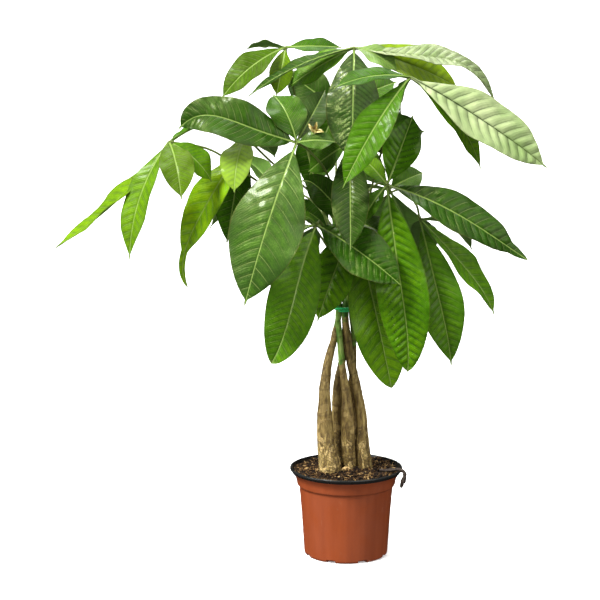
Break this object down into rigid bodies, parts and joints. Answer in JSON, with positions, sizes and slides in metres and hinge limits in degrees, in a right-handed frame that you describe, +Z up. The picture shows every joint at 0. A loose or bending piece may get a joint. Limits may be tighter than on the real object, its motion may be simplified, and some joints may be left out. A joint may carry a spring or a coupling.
{
  "type": "potted money tree",
  "caption": "Braided money tree house plant with palmate leaves on long stalks, standing in soil in a tapered plastic nursery pot.",
  "frame": {"origin": "centre of the pot's underside", "axes": "+Z up along the pot's axis, -Y towards the front, +X to the right seen from the front"},
  "size_m": [0.5429, 0.2901, 0.5918],
  "materials": {
    "pot_plastic": "smooth moulded terracotta-coloured plastic with a dark lip and lining",
    "soil": "rough moist peat and coir",
    "bark": "thin matt bark with pale flakes",
    "green_shoot": "smooth green skin, satin",
    "tie_plastic": "glossy green covered wire",
    "dry_root": "dry and fibrous",
    "leaf_green": "glossy puckered leaf with pale veins",
    "leaf_young": "glossy young leaf, yellow-green"
  },
  "bodies": {
    "root": {"pot": "pot_plastic", "soil": "soil", "trunk_front_left": "bark", "trunk_front_middle": "bark", "trunk_back_left": "bark", "trunk_right": "bark", "trunk_back_right": "bark", "shoot_front_left": "green_shoot", "shoot_front_middle": "green_shoot", "shoot_back_left": "green_shoot", "shoot_right": "green_shoot", "shoot_back_right": "green_shoot", "tie": "tie_plastic", "dried_root": "dry_root", "leaf_front_left": "leaf_green", "leaf_far_left": "leaf_young", "leaf_middle_left": "leaf_young", "leaf_top": "leaf_green", "leaf_top_right": "leaf_young", "leaf_middle_right": "leaf_green", "leaf_lower_right": "leaf_green", "leaf_lower_middle": "leaf_green", "leaf_top_left": "leaf_young", "leaf_centre": "leaf_green", "leaf_inner": "leaf_green", "leaf_back_right": "leaf_green", "leaf_back_left": "leaf_green", "leaf_back_top": "leaf_green", "leaf_back_low": "leaf_green"}
  },
  "joints": []
}
